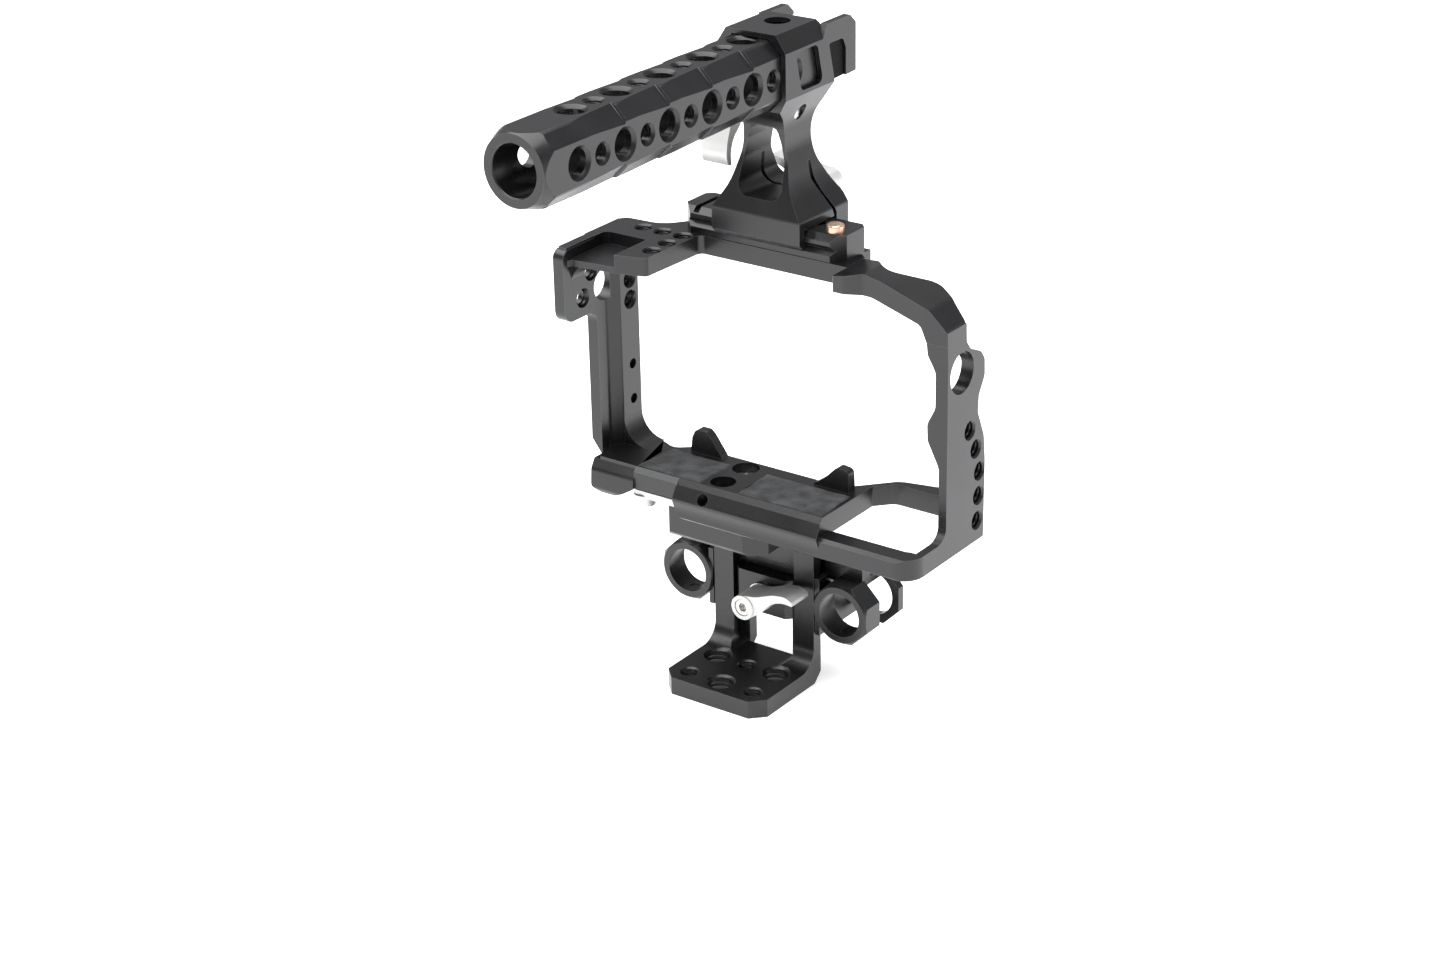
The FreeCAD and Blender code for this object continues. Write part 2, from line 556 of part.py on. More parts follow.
def safety_pin():
    shoulder_z = RAIL_TOP + 2.0
    body = cylinder(2.8, (*SAFETY_PIN, 124.6), (*SAFETY_PIN, shoulder_z))
    crown = cone(2.8, 2.3, (*SAFETY_PIN, shoulder_z), (*SAFETY_PIN, shoulder_z + 0.5))
    return body.fuse(crown)


def safety_spring():
    coil = cylinder(2.4, (*SAFETY_PIN, 121.05), (*SAFETY_PIN, 124.55))
    return coil.cut(cylinder(1.8, (*SAFETY_PIN, 121.0), (*SAFETY_PIN, 125.0)))


def grip_section(half):
    """Four wide flats joined by four narrow ones at 45 degrees."""
    flat = GRIP_FLAT + (half - GRIP_HALF) * math.tan(math.pi / 8)
    quarters = [(half, -flat), (half, flat), (flat, half), (-flat, half),
                (-half, flat), (-half, -flat), (-flat, -half), (flat, -half)]
    return [(STAND_X + u, GRIP_Z + v) for u, v in quarters]


def sleeve_section():
    """Tall sides, and steep flats up to a narrower top."""
    half = [(SLEEVE_HALF, -7.1), (SLEEVE_HALF, 7.3), (9.0, SLEEVE_HALF)]
    right = [(STAND_X + x, GRIP_Z + z) for x, z in half]
    left = [(STAND_X - x, GRIP_Z + z) for x, z in reversed(half)]
    return right + left


def handle_stand():
    mid = STAND_X
    half = [(16.3, 121.9), (16.3, 131.0, 2), (11.0, 139.0, 22), (7.6, 152.0, 14),
            (7.6, 160.0, 9), (SLEEVE_HALF, GRIP_Z - 7.1)]
    front = prism_y([(mid + p[0], *p[1:]) for p in half]
                    + [(mid - p[0], *p[1:]) for p in reversed(half)], -8, 36)
    side = prism_x([(-3.0, 121.9), (-5.0, 124.0), (-5.0, 131.0, 4), (0.5, 148.0, 12),
                    (0.3, 160.0, 8), (-6.0, 165.0), (-6.0, 170.0), (20.6, 170.0),
                    (18.2, 163.5, 8), (14.4, 156.0, 8), (14.4, 147.0, 10), (21.8, 134.0, 4),
                    (21.8, 124.0), (20.0, 121.9)], mid - 18, mid + 18)
    sleeve = prism_y(sleeve_section(), SLEEVE_Y[0], SLEEVE_Y[1])
    bore = prism_y(grip_section(GRIP_HALF + 0.3), SLEEVE_Y[0] - 1, 40)
    shape = front.common(side).fuse([sleeve, prong(-1), prong(1)]).cut(bore)
    return cut_all(shape, rail_channel() + stand_windows() + stand_screw_holes())


def prong(side):
    """One flat arm of the fork behind the sleeve, pocketed on its outer face."""
    x0, x1 = sorted((STAND_X + side * (SLEEVE_HALF - PRONG), STAND_X + side * SLEEVE_HALF))
    arm = prism_x([(14.0, 169.0), (31.7, 169.6), (31.7, 184.7), (28.6, 187.5), (16.4, 187.5),
                   (15.0, 185.2), (14.0, 183.4)], x0, x1)
    x0, x1 = sorted((STAND_X + side * (SLEEVE_HALF - POCKET), STAND_X + side * 20))
    return arm.cut(prism_x(PRONG_WINDOW, x0, x1))


def fork_inserts():
    """Black plastic fillers in the pockets of the two arms."""
    inserts = []
    for side in (-1, 1):
        x0, x1 = sorted((STAND_X + side * (SLEEVE_HALF - POCKET),
                         STAND_X + side * (SLEEVE_HALF - POCKET + 0.8)))
        arm = prism_x([(14.0, 169.0), (31.7, 169.6), (31.7, 184.7), (14.0, 184.7)], x0, x1)
        inserts.append(prism_x(PRONG_WINDOW, x0, x1).common(arm))
    return inserts


def rail_channel():
    """Dovetail over the rail, and the slit that lets its far jaw close."""
    y0 = RAIL_Y[0] - 0.3
    y1 = RAIL_Y[1] + 0.3
    channel = [(y0, 120), (y0, 121.9), (y0 + 1.4, 123.3), (y0, 124.7), (y0, RAIL_TOP + 0.3),
               (y1, RAIL_TOP + 0.3), (y1, 124.7), (y1 - 1.4, 123.3), (y1, 121.9), (y1, 120)]
    slit = [(9.7, 145.8), (11.4, 145.8), (11.4, 140.8), (12.5, 136.2), (14.1, 131.6),
            (y1, 129.2), (y1, 127.6), (y1 - 1.0, 127.6), (12.9, 131.2), (11.5, 135.8),
            (9.7, 140.6)]
    return [prism_x(points, STAND_X - 20, STAND_X + 20) for points in (channel, slit)]


def stand_windows():
    mid = STAND_X
    half = [(8.4, 135.8, 4), (7.5, 147.0, 8), (6.3, 153.0, 6), (4.6, 158.0, 2.6)]
    window = ([(mid + p[0], *p[1:]) for p in half]
              + [(mid - p[0], *p[1:]) for p in reversed(half)])
    tools = [prism_y(window, -10, 30), cylinder(4.1, (mid, 8.0, 180), (mid, 8.0, 192))]
    for side in (-1, 1):
        x0, x1 = sorted((mid + side * (GRIP_HALF + 0.1), mid + side * 20))
        tools.append(prism_x([(-0.8, 182.6, 2.5), (10.9, 182.6, 2), (13.8, 170.2, 2),
                              (2.2, 170.2, 2)], x0, x1))
    return tools


def stand_screw_holes():
    y, z = GRIP_SCREW
    x, rail_z = NATO_SCREW
    mid = STAND_X
    return [cylinder(2.55, (mid - 20, y, z), (mid + 20, y, z)),
            cylinder(4.2, (mid - 20, y, z), (mid - 7.9, y, z)),
            cylinder(2.55, (x, 2, rail_z), (x, 30, rail_z))]


def ridge_cuts():
    """Each 45 degree flat sinks towards the head, then steps back up in line with a big hole."""
    top = GRIP_Z + (GRIP_HALF + GRIP_FLAT) / math.sqrt(2)
    cuts = []
    for k in range(RIDGES):
        end = RIDGE_FIRST + 2 * HOLE_PITCH * k
        start = end - 2 * HOLE_PITCH
        cut = prism_x([(start, top), (end - 0.6, top - RIDGE_STEP, 0.5), (end, top + 0.4),
                       (end, top + 2), (start, top + 2)], STAND_X - 9, STAND_X + 9)
        for turn in (45, 135, 225, 315):
            turned = cut.copy()
            turned.rotate(V(STAND_X, 0, GRIP_Z), V(0, 1, 0), turn)
            cuts.append(turned)
    return cuts


def grip_tube():
    y0, y1 = GRIP_Y
    cone_end = y0 + 4.6
    blank = cylinder(GRIP_CORNER, (STAND_X, cone_end, GRIP_Z), (STAND_X, y1, GRIP_Z))
    nose = cone(GRIP_HALF - 0.2, GRIP_CORNER, (STAND_X, y0, GRIP_Z),
                (STAND_X, cone_end, GRIP_Z))
    bar = prism_y(grip_section(GRIP_HALF), y0 - 1, y1 + 1)
    shape = blank.fuse(nose).common(bar)
    tools = [cylinder(GRIP_BORE_R, (STAND_X, y0 - 1, GRIP_Z), (STAND_X, y1 + 1, GRIP_Z)),
             cone(GRIP_BORE_R + 0.3, GRIP_BORE_R, (STAND_X, y0, GRIP_Z),
                  (STAND_X, y0 + 0.3, GRIP_Z))]
    sizes = ((R_THREE8, R_THREE8_WIDE), (R_QUARTER, R_QUARTER_WIDE))
    for k in range(GRIP_HOLES):
        y = GRIP_FIRST_HOLE + HOLE_PITCH * k
        centre = (STAND_X, y, GRIP_Z)
        for side in (-1, 1):
            tools.append(tapped(centre, (STAND_X + side * GRIP_HALF, y, GRIP_Z), *sizes[k % 2]))
        y += HOLE_PITCH
        centre = (STAND_X, y, GRIP_Z)
        tools.append(tapped(centre, (STAND_X, y, GRIP_Z + GRIP_HALF), *sizes[k % 2]))
    return cut_all(shape, tools + ridge_cuts())


# ---------------------------------------------------------------- assembly
def main():
    os.makedirs("parts", exist_ok=True)
    save("riser_bracket", riser_bracket())
    save("rod_clamp_body", rod_clamp_body())
    save_group("rod_lock_screws", rod_lock_screws())
    save("front_clamp_block", front_clamp_block())
    lever = wing_lever(LEVER_WIDTH)
    grip_turns = (((0, 1, 0), 90), ((0, 0, 1), -90))
    nato_turns = (((0, 0, 1), 180),)
    clamps = (("height", (0, -11.2, SCREW_Z), (), 22.0),
              ("grip", (-20.2, GRIP_SCREW[0], GRIP_SCREW[1]), grip_turns, 20.5),
              ("nato", (NATO_SCREW[0], 33.0, NATO_SCREW[1]), nato_turns, 19.5))
    for name, hub, turns, reach in clamps:
        save(name + "_lever", placed(lever, hub, turns))
        save(name + "_lever_screw", placed(lever_screw(LEVER_WIDTH, reach), hub, turns))
    save("height_lever_washer", washer((0, -1.15, SCREW_Z), (0, -0.05, SCREW_Z)))
    save("grip_lever_spacer", washer((-10.1, *GRIP_SCREW), (-4.95, *GRIP_SCREW), 3.6))
    save("nato_lever_washer", washer((NATO_SCREW[0], 21.85, NATO_SCREW[1]),
                                     (NATO_SCREW[0], 22.95, NATO_SCREW[1])))
    save("quick_release_block", quick_release_block())
    save("dovetail_plate", dovetail_plate())
    save("deck_screw", deck_screw())
    save("quick_release_lever", quick_release_lever())
    save("quick_release_pivot", quick_release_pivot())
    save_group("bracket_screws", bracket_screws())
    save("cage_frame", cage_frame())
    save("base_pad_left", pad_shape("left", 0))
    save("base_pad_right", pad_shape("right", 0))
    save("nato_rail", nato_rail())
    save_group("rail_screws", rail_screws())
    save("safety_pin", safety_pin())
    save("safety_pin_spring", safety_spring())
    save("handle_stand", handle_stand())
    save_group("fork_inserts", fork_inserts())
    save("grip_tube", grip_tube())
    print("built")


main()
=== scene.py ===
"""Camera cage rig: finishes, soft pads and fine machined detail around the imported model."""
import bpy
import bmesh
import math
from mathutils import Matrix, Vector, noise


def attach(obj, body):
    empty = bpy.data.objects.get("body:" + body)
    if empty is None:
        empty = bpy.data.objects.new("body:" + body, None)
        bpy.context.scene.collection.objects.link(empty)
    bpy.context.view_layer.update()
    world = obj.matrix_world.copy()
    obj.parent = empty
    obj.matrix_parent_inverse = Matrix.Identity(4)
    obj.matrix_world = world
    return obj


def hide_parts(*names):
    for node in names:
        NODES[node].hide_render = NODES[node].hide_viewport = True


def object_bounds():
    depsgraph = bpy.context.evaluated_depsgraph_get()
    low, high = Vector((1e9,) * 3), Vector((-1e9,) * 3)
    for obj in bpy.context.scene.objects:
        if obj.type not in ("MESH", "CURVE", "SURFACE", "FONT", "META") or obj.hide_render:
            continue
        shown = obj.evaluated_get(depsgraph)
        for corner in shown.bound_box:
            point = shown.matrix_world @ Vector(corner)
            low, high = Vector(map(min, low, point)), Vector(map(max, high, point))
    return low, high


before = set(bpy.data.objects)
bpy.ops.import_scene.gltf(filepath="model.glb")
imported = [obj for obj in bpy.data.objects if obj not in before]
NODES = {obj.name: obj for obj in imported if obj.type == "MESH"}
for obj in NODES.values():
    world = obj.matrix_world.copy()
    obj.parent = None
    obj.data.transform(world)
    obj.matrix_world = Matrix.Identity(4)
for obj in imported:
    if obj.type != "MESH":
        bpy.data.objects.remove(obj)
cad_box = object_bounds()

MM = 0.001

# Camera: the angle that the rig is seen from, in degrees and metres
AZIMUTH = 36.09
ELEVATION = 24.23
ROLL = -1.15
DISTANCE = 0.9477
AIM = Vector((-0.0184, 0.0138, 0.0611))
LENS = 72.75

# Studio
FLOOR_WIDTH = 9.0
FLOOR_TONE = (0.86, 0.86, 0.87, 1.0)
FLOOR_GLOW = 0.70      # the floor is a lit sweep, so it leaves hardly any shadow

ANODISING_IOR = 1.52

# CAD finish, in metres and degrees
WELD_GAP = 0.000002
FLAT_ANGLE = 0.6       # faces within this angle are joined before the edges are broken
EDGE_ANGLE = 28

# Seat pads and threads, in millimetres
PAD_FLOOR = 75.0       # just under the camera's seat
PAD_ROLL = 26          # how steeply a pad rises at its edge
PAD_RAGGED = 0.55      # how far the cut edge wanders
THREAD_DEPTH = 0.34
THREAD_ROOT = 0.06     # the ridge starts this far inside the wall
THREAD_STEPS = 20      # for each turn
GRIP_X = 3.0
GRIP_AXIS_Z = 204.4
GRIP_HALF = 10.8
GRIP_FIRST_HOLE = -93.1
GRIP_HOLES = 11
HOLE_PITCH = 10.25


# ---------------------------------------------------------------- node helpers
class Nodes:
    """A material's node tree with short calls for what the finishes share."""

    def __init__(self, name):
        self.material = bpy.data.materials.new(name)
        self.material.use_nodes = True
        self.tree = self.material.node_tree
        self.shader = self.tree.nodes["Principled BSDF"]
        self.place = self.new("ShaderNodeTexCoord").outputs["Object"]

    def new(self, kind, **inputs):
        node = self.tree.nodes.new(kind)
        for key, value in inputs.items():
            self.put(node.inputs[key.replace("_", " ")], value)
        return node

    def put(self, socket, value):
        if isinstance(value, bpy.types.NodeSocket):
            self.tree.links.new(value, socket)
        else:
            socket.default_value = value

    def set(self, **inputs):
        for key, value in inputs.items():
            self.put(self.shader.inputs[key.replace("_", " ")], value)

    def noise(self, scale, detail=4.0, stretch=None):
        place = self.place
        if stretch:
            mapping = self.new("ShaderNodeMapping", Vector=place)
            mapping.inputs["Scale"].default_value = stretch
            place = mapping.outputs["Vector"]
        node = self.new("ShaderNodeTexNoise", Vector=place, Scale=scale, Detail=detail)
        return node.outputs["Fac"]

    def ramp(self, fac, low, high, start=0.3, end=0.7):
        node = self.new("ShaderNodeValToRGB", Fac=fac)
        node.color_ramp.elements[0].position = start
        node.color_ramp.elements[1].position = end
        node.color_ramp.elements[0].color = low
        node.color_ramp.elements[1].color = high
        return node.outputs["Color"]

    def span(self, fac, low, high, start=0.3, end=0.7):
        node = self.new("ShaderNodeMapRange", Value=fac)
        limits = {"From Min": start, "From Max": end, "To Min": low, "To Max": high}
        for key, value in limits.items():
            node.inputs[key].default_value = value
        return node.outputs["Result"]

    def mix(self, fac, first, second):
        node = self.tree.nodes.new("ShaderNodeMix")
        node.data_type = "RGBA"
        self.put(node.inputs[0], fac)
        self.put(node.inputs[6], first)
        self.put(node.inputs[7], second)
        return node.outputs[2]

    def bump(self, height, strength, distance, under=None):
        node = self.new("ShaderNodeBump", Height=height, Strength=strength, Distance=distance)
        if under is not None:
            self.put(node.inputs["Normal"], under)
        return node.outputs["Normal"]

    def edges(self, radius):
        """1 on outer and inner edges narrower than radius, 0 on flat faces."""
        bevel = self.new("ShaderNodeBevel", Radius=radius)
        bevel.samples = 4
        true_normal = self.new("ShaderNodeNewGeometry").outputs["Normal"]
        dot = self.new("ShaderNodeVectorMath")
        dot.operation = "DOT_PRODUCT"
        self.put(dot.inputs[0], bevel.outputs["Normal"])
        self.put(dot.inputs[1], true_normal)
        return self.span(dot.outputs["Value"], 1.0, 0.0, 0.85, 0.999)


def black_anodised():
    """Fine bead-blasted black anodising, painted a little paler on its edges as a painted
    highlight.
    """
    n = Nodes("black_anodised")
    cloud = n.noise(55.0, 5.0)
    grain = n.noise(2600.0, 3.0)
    base = n.ramp(cloud, (0.0045, 0.0045, 0.0052, 1), (0.0070, 0.0070, 0.0078, 1))
    # painted highlight: outer and inner edges get a paler colour that stands in for the glints on
    # their rounded bevels
    painted_edge_highlight = n.mix(n.edges(0.00025), base, (0.075, 0.075, 0.080, 1))
    n.set(Base_Color=painted_edge_highlight, Roughness=n.span(cloud, 0.27, 0.35), Metallic=0.0,
          Normal=n.bump(grain, 0.22, 0.00006))
    n.shader.inputs["IOR"].default_value = ANODISING_IOR
    return n.material


def blasted_silver():
    """Cast aluminium clamp levers, bead blasted."""
    n = Nodes("blasted_silver")
    cloud = n.noise(90.0, 4.0)
    grain = n.noise(3000.0, 3.0)
    base = n.ramp(cloud, (0.60, 0.595, 0.585, 1), (0.70, 0.695, 0.68, 1))
    n.set(Base_Color=base, Metallic=0.55, Roughness=n.span(cloud, 0.42, 0.52),
          Normal=n.bump(grain, 0.3, 0.00006))
    return n.material


def turned_steel():
    """Stainless socket screws with fine turning marks."""
    n = Nodes("turned_steel")
    marks = n.noise(900.0, 2.0, (1.0, 1.0, 4.0))
    base = n.ramp(marks, (0.50, 0.48, 0.45, 1), (0.70, 0.69, 0.67, 1))
    n.set(Base_Color=base, Metallic=1.0, Roughness=n.span(marks, 0.24, 0.38),
          Normal=n.bump(marks, 0.15, 0.00005))
    return n.material


def black_oxide():
    """Small set screws in black oxide, with an oily sheen."""
    n = Nodes("black_oxide")
    marks = n.noise(800.0, 2.0)
    base = n.ramp(marks, (0.012, 0.012, 0.013, 1), (0.030, 0.029, 0.028, 1))
    n.set(Base_Color=base, Metallic=0.4, Roughness=n.span(marks, 0.3, 0.42))
    return n.material


def copper_pin():
    """Turned copper-coloured pin."""
    n = Nodes("copper_pin")
    marks = n.noise(1100.0, 2.0, (1.0, 1.0, 5.0))
    base = n.ramp(marks, (0.66, 0.40, 0.28, 1), (0.84, 0.58, 0.44, 1))
    n.set(Base_Color=base, Metallic=0.9, Roughness=n.span(marks, 0.30, 0.42),
          Normal=n.bump(marks, 0.2, 0.00005))
    return n.material


def spring_steel():
    """Drawn wire of the pin's spring."""
    n = Nodes("spring_steel")
    marks = n.noise(1500.0, 2.0)
    base = n.ramp(marks, (0.30, 0.30, 0.31, 1), (0.42, 0.42, 0.43, 1))
    n.set(Base_Color=base, Metallic=1.0, Roughness=n.span(marks, 0.3, 0.4))
    return n.material


def black_plastic():
    """Matt moulded fillers of the fork."""
    n = Nodes("black_plastic")
    grain = n.noise(1800.0, 4.0)
    base = n.ramp(grain, (0.0016, 0.0016, 0.0018, 1), (0.0030, 0.0030, 0.0032, 1))
    n.set(Base_Color=base, Roughness=n.span(grain, 0.5, 0.62),
          Normal=n.bump(grain, 0.35, 0.00008))
    n.shader.inputs["IOR"].default_value = 1.18
    return n.material


def suede():
    """Soft black microfibre of the seat pads, with a matte, rubbed nap."""
    n = Nodes("pad_suede")
    nap = n.noise(1500.0, 6.0)
    cloud = n.noise(170.0, 5.0)
    base = n.mix(n.span(cloud, 0.0, 1.0, 0.35, 0.65), (0.030, 0.0305, 0.031, 1),
                 (0.070, 0.071, 0.073, 1))
    n.set(Base_Color=base, Roughness=n.span(cloud, 0.75, 0.92),
          Normal=n.bump(nap, 0.7, 0.00010, n.bump(cloud, 0.5, 0.00035)))
    n.shader.inputs["IOR"].default_value = 1.25
    n.shader.inputs["Sheen Weight"].default_value = 0.12
    n.shader.inputs["Sheen Roughness"].default_value = 0.5
    return n.material


# ---------------------------------------------------------------- finishes on the CAD nodes
def dress(names, material, edge, segments=2):
    """Gives CAD nodes their material and breaks their sharp edges."""
    for name in names:
        piece = NODES[name]
        piece.data.materials.clear()
        piece.data.materials.append(material)
        if not edge:
            continue
        weld = piece.modifiers.new("weld", "WELD")
        weld.merge_threshold = WELD_GAP
        flat = piece.modifiers.new("join_flats", "DECIMATE")
        flat.decimate_type = "DISSOLVE"
        flat.angle_limit = math.radians(FLAT_ANGLE)
        bevel = piece.modifiers.new("broken_edges", "BEVEL")
        bevel.width = edge
        bevel.segments = segments
        bevel.limit_method = "ANGLE"
        bevel.angle_limit = math.radians(EDGE_ANGLE)
        bevel.miter_outer = "MITER_ARC"
        bevel.use_clamp_overlap = True
        smooth = piece.modifiers.new("even_normals", "WEIGHTED_NORMAL")
        smooth.keep_sharp = True


BLACK = black_anodised()
SILVER = blasted_silver()
STEEL = turned_steel()
COPPER = copper_pin()
SUEDE = suede()

dress(["riser_bracket", "rod_clamp_body", "front_clamp_block", "quick_release_block",
       "dovetail_plate", "cage_frame", "nato_rail", "handle_stand", "grip_tube",
       "grip_lever_spacer"], BLACK, 0.00036)
dress(["height_lever", "grip_lever", "nato_lever", "quick_release_lever"], SILVER, 0.0005, 3)
dress(["height_lever_screw", "height_lever_washer", "grip_lever_screw", "nato_lever_screw",
       "nato_lever_washer", "deck_screw", "quick_release_pivot", "bracket_screws",
       "rail_screws"], STEEL, 0.00015)
dress(["rod_lock_screws"], black_oxide(), 0.0001)
dress(["fork_inserts"], black_plastic(), 0.00015)
dress(["safety_pin"], COPPER, 0.0002)
dress(["safety_pin_spring"], spring_steel(), 0)
dress(["base_pad_left", "base_pad_right"], SUEDE, 0)


# ---------------------------------------------------------------- seat pads
def crease(x, y, start, end, depth, width):
    """Depth of a pressed-in crease that runs from start to end."""
    ax, ay = start
    bx, by = end[0] - ax, end[1] - ay
    along = max(0.0, min(1.0, ((x - ax) * bx + (y - ay) * by) / (bx * bx + by * by)))
    gap = math.hypot(x - ax - bx * along, y - ay - by * along)
    fade = math.sin(math.pi * min(1.0, 0.15 + 0.7 * along))
    return depth * fade * math.exp(-(gap / width) ** 2)


def seat_pad(name, node, corners, creases, lift):
    """Thin glued suede pad over its CAD stand-in: lumpy top, rolled and slightly wavy edges.

    corners are the pad's four corners in millimetres, anticlockwise from front left.
    """
    across, deep = 96, 56
    seed = len(creases) * 7.3
    front_left, front_right, back_right, back_left = (Vector(c) for c in corners)
    rows = []
    for j in range(deep + 1):
        v = j / deep
        row = []
        for i in range(across + 1):
            u = i / across
            start = front_left.lerp(back_left, v)
            place = start.lerp(front_right.lerp(back_right, v), u)
            edge = min(u, 1 - u, v * 0.6, (1 - v) * 0.6)
            ripple = noise.noise(Vector((place.x * 0.35, place.y * 0.35, seed)))
            wave = max(0.0, 1 - edge * 14)
            out = Vector((u - 0.5, (v - 0.5) * 0.7)).normalized()
            place = place + out * (ripple * PAD_RAGGED * wave)
            lump = noise.noise(Vector((place.x * 0.16, place.y * 0.2, seed + 4)))
            fine = noise.noise(Vector((place.x * 0.6, place.y * 0.7, seed + 9)))
            dent = sum(crease(place.x, place.y, *c) for c in creases)
            roll = min(1.0, edge * PAD_ROLL) ** 0.45
            high = lift + 0.30 * lump + 0.10 * fine - dent
            row.append((place.x, place.y, PAD_FLOOR + max(0.12, high) * roll + 0.05))
        rows.append(row)
    verts = [v for row in rows for v in row]
    width = across + 1
    faces = [(j * width + i, j * width + i + 1, (j + 1) * width + i + 1, (j + 1) * width + i)
             for j in range(deep) for i in range(across)]
    rim = (list(range(width)) + [j * width + across for j in range(1, deep + 1)]
           + [deep * width + i for i in range(across - 1, -1, -1)]
           + [j * width for j in range(deep - 1, 0, -1)])
    base = len(verts)
    verts += [(verts[k][0], verts[k][1], PAD_FLOOR - 0.25) for k in rim]
    count = len(rim)
    faces += [(rim[k], base + k, base + (k + 1) % count, rim[(k + 1) % count])
              for k in range(count)]
    faces.append(tuple(base + k for k in range(count - 1, -1, -1)))
    mesh = bpy.data.meshes.new(name)
    mesh.from_pydata([(x * MM, y * MM, z * MM) for x, y, z in verts], [], faces)
    shell = bmesh.new()
    shell.from_mesh(mesh)
    bmesh.ops.recalc_face_normals(shell, faces=shell.faces)
    shell.to_mesh(mesh)
    shell.free()
    for polygon in mesh.polygons:
        polygon.use_smooth = len(polygon.vertices) == 4
    mesh.materials.append(SUEDE)
    piece = bpy.data.objects.new(name, mesh)
    bpy.context.scene.collection.objects.link(piece)
    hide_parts(node)
    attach(piece, "cage")


def seat_pads():
    seat_pad("suede_pad_left", "base_pad_left",
             [(-30.0, -15.9), (-5.2, -16.1), (-5.0, 0.9), (-28.6, 1.1)],
             [((-19.0, -5.5), (-14.5, -5.0), 0.40, 1.9), ((-9.5, -12.5), (-7.0, -8.5), 0.30, 0.9),
              ((-24.0, -13.0), (-18.5, -14.6), 0.35, 0.7), ((-13.0, -1.6), (-7.5, -3.0), 0.22, 0.8),
              ((-17.0, -15.0), (-10.5, -15.6), 0.40, 0.6)], 0.62)
    seat_pad("suede_pad_right", "base_pad_right",
             [(8.6, -16.1), (40.2, -16.0), (39.6, 1.4), (8.2, 1.2)],
             [((14.5, -8.5), (16.5, -9.8), 0.42, 0.8), ((31.5, -11.0), (33.0, -13.5), 0.35, 0.5),
              ((11.0, -14.8), (15.5, -15.0), 0.40, 0.6), ((20.0, -3.0), (26.0, -2.0), 0.15, 1.6)],
             0.60)


# ---------------------------------------------------------------- threads in the tapped holes
def thread(verts, faces, start, way, length, radius, pitch, mouth):
    """Helical ridge on the wall of a tapped hole, below its countersunk mouth."""
    way = Vector(way).normalized()
    start = Vector(start) + way * mouth
    length -= mouth
    side = way.orthogonal().normalized()
    other = way.cross(side)
    total = max(2, int((length - 0.9 * pitch) / pitch * THREAD_STEPS))
    base = len(verts)
    for k in range(total + 1):
        turn = 2 * math.pi * k / THREAD_STEPS
        fade = min(1.0, k / 5, (total - k) / 5)
        radial = side * math.cos(turn) + other * math.sin(turn)
        middle = start + way * (0.45 * pitch + pitch * k / THREAD_STEPS)
        root = radius + THREAD_ROOT
        crest = root - THREAD_DEPTH * fade
        for out, shift in ((root, -0.42), (crest, -0.10), (crest, 0.10), (root, 0.42)):
            verts.append((middle + radial * out + way * (shift * pitch)) * MM)
    for k in range(total):
        for c in range(3):
            a = base + 4 * k + c
            faces.append((a, a + 1, a + 5, a + 4))


def threads(name, body, holes):
    """One piece with the ridges of all the holes, which rides on body."""
    verts, faces = [], []
    for hole in holes:
        thread(verts, faces, *hole)
    mesh = bpy.data.meshes.new(name)
    mesh.from_pydata(verts, [], faces)
    for polygon in mesh.polygons:
        polygon.use_smooth = True
    mesh.materials.append(BLACK)
    piece = bpy.data.objects.new(name, mesh)
    bpy.context.scene.collection.objects.link(piece)
    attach(piece, body)


def tapped_holes():
    """Threads of every quarter-inch and three-eighths hole, in millimetres of the part's frame."""
    small, large = (2.6, 1.27, 0.6), (4.05, 1.59, 0.75)       # radius, pitch, depth of the mouth
    foot = []
    for x, y, size in ((-11.5, 0.0, large), (11.5, 0.0, large), (0.0, -14.5, large),
                       (-12.5, -14.5, small), (0.0, 0.0, small), (12.5, -14.5, small)):
        foot.append(((x, y, 6.1), (0, 0, -1), 5.6, *size))
    threads("foot_threads", "cage", foot)
    cage = []
    for z in (130.3, 123.3):
        cage.append(((-51.0, 1.3, z), (1, 0, 0), 7.0, *small))
    for y, z in ((-18.8, 129.4), (-14.3, 137.0)):
        cage.append(((-51.0, y, z), (1, 0, 0), 4.0, *small))
    for x, y in ((-39.2, 3.0), (-31.7, 3.0), (-24.0, 3.0), (-24.0, -5.0), (-24.0, -13.0)):
        cage.append(((x, y, 147.9), (0, 0, -1), 6.0, *small))
    for y, z in ((14.0, 101.1), (17.7, 93.8), (20.0, 85.6), (19.7, 77.5), (19.1, 69.3)):
        cage.append(((74.3, y, z), (-1, 0, 0), 6.6, *small))
    threads("cage_threads", "cage", cage)
    grip = []
    sizes = ((4.05, 1.59, 1.05), (2.6, 1.27, 0.9))
    wall = 3.1
    for k in range(GRIP_HOLES):
        y = GRIP_FIRST_HOLE + HOLE_PITCH * k
        for side in (-1, 1):
            mouth = (GRIP_X + side * GRIP_HALF, y, GRIP_AXIS_Z)
            grip.append((mouth, (-side, 0, 0), wall, *sizes[k % 2]))
        mouth = (GRIP_X, y + HOLE_PITCH, GRIP_AXIS_Z + GRIP_HALF)
        grip.append((mouth, (0, 0, -1), wall, *sizes[k % 2]))
    threads("grip_threads", "grip", grip)


seat_pads()
tapped_holes()


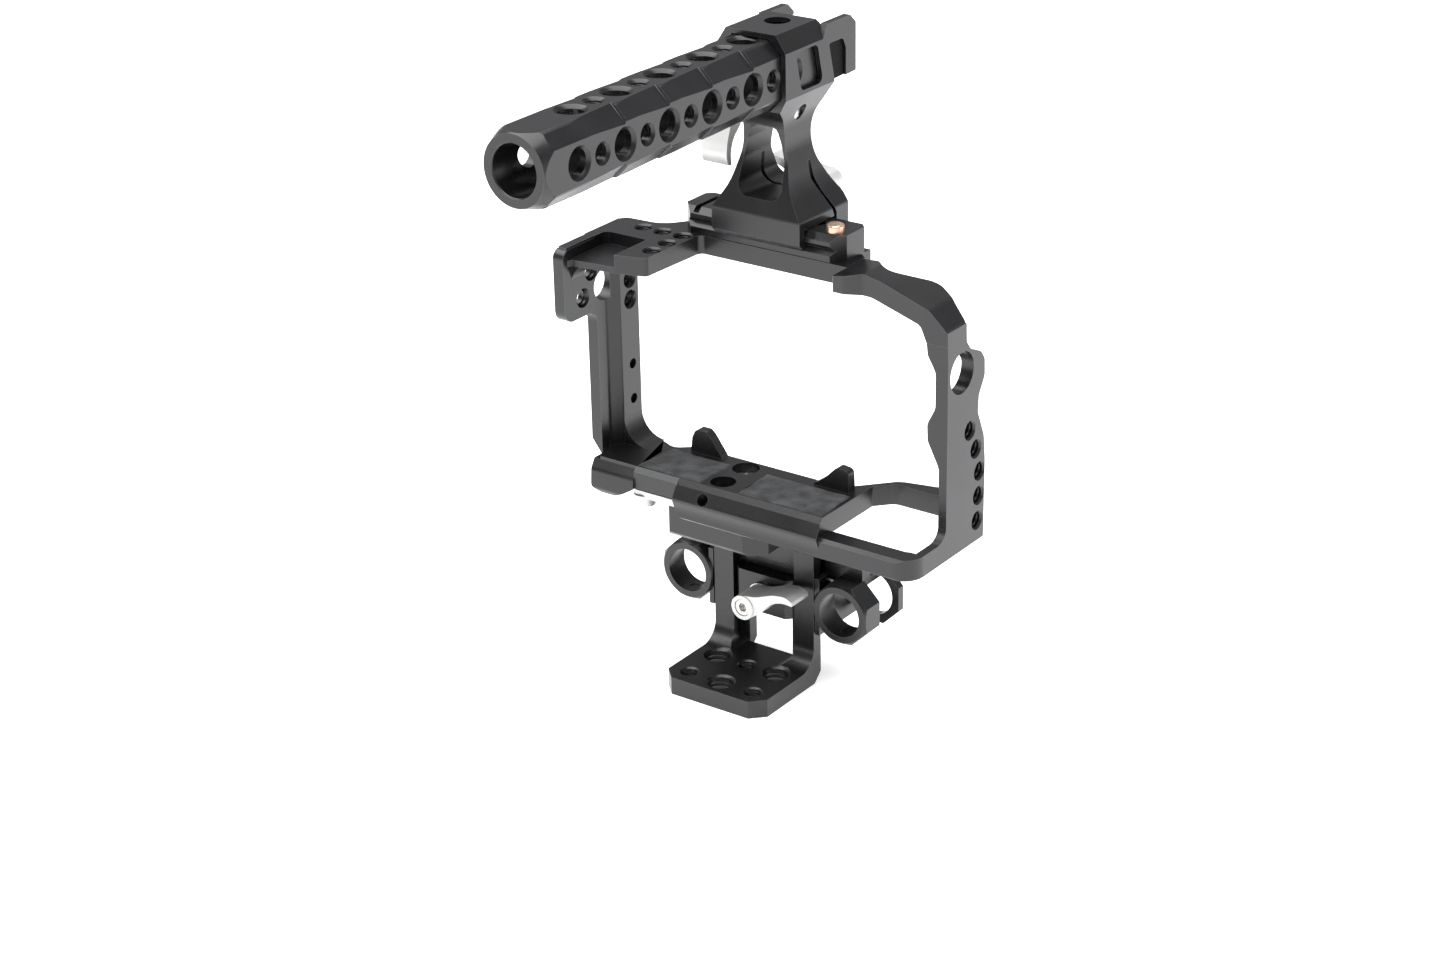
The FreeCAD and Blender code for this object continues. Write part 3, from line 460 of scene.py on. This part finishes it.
# ---------------------------------------------------------------- studio
def floor():
    """Plain pale sweep under the rig."""
    mesh = bpy.data.meshes.new("floor")
    half = FLOOR_WIDTH / 2
    mesh.from_pydata([(-half, -half, 0), (half, -half, 0), (half, half, 0), (-half, half, 0)],
                     [], [(0, 1, 2, 3)])
    piece = bpy.data.objects.new("floor", mesh)
    piece.location.z = cad_box[0].z
    bpy.context.scene.collection.objects.link(piece)
    n = Nodes("floor_white")
    tone = n.ramp(n.noise(3.0), FLOOR_TONE, tuple(min(1, c * 1.02) for c in FLOOR_TONE))
    n.set(Base_Color=tone, Roughness=0.6, Emission_Color=tone)
    n.shader.inputs["Emission Strength"].default_value = FLOOR_GLOW
    mesh.materials.append(n.material)


def light(name, place, aim, size, power):
    data = bpy.data.lights.new(name, "AREA")
    data.shape = "RECTANGLE"
    data.size, data.size_y = size
    data.energy = power
    lamp = bpy.data.objects.new(name, data)
    lamp.location = place
    lamp.rotation_euler = (Vector(aim) - Vector(place)).to_track_quat("-Z", "Y").to_euler()
    bpy.context.scene.collection.objects.link(lamp)


def studio():
    floor()
    middle = (cad_box[0] + cad_box[1]) / 2
    light("overhead", middle + Vector((-0.3, -0.2, 1.6)), middle, (2.6, 2.6), 90)
    light("right_side", middle + Vector((1.7, 0.8, 0.25)), middle, (1.2, 1.0), 11)
    world = bpy.data.worlds.new("studio")
    bpy.context.scene.world = world
    world.use_nodes = True
    background = world.node_tree.nodes["Background"]
    background.inputs["Color"].default_value = (0.97, 0.98, 1.0, 1)
    background.inputs["Strength"].default_value = 0.38


def camera():
    """Looks at AIM from the front right, a little from above."""
    azimuth, elevation, roll = (math.radians(v) for v in (AZIMUTH, ELEVATION, ROLL))
    back = Vector((math.sin(azimuth) * math.cos(elevation),
                   -math.cos(azimuth) * math.cos(elevation), math.sin(elevation)))
    right = Vector((math.cos(azimuth), math.sin(azimuth), 0))
    up = back.cross(right)
    level = Matrix((right, up, back)).transposed().to_4x4()
    data = bpy.data.cameras.new("camera")
    data.lens = LENS
    data.sensor_width = 36.0
    data.clip_start, data.clip_end = 0.01, 50.0
    lens = bpy.data.objects.new("camera", data)
    place = Matrix.Translation(AIM + back * DISTANCE)
    lens.matrix_world = place @ level @ Matrix.Rotation(roll, 4, "Z")
    bpy.context.scene.collection.objects.link(lens)
    bpy.context.scene.camera = lens
    bpy.context.scene.view_settings.view_transform = "Standard"


studio()
camera()
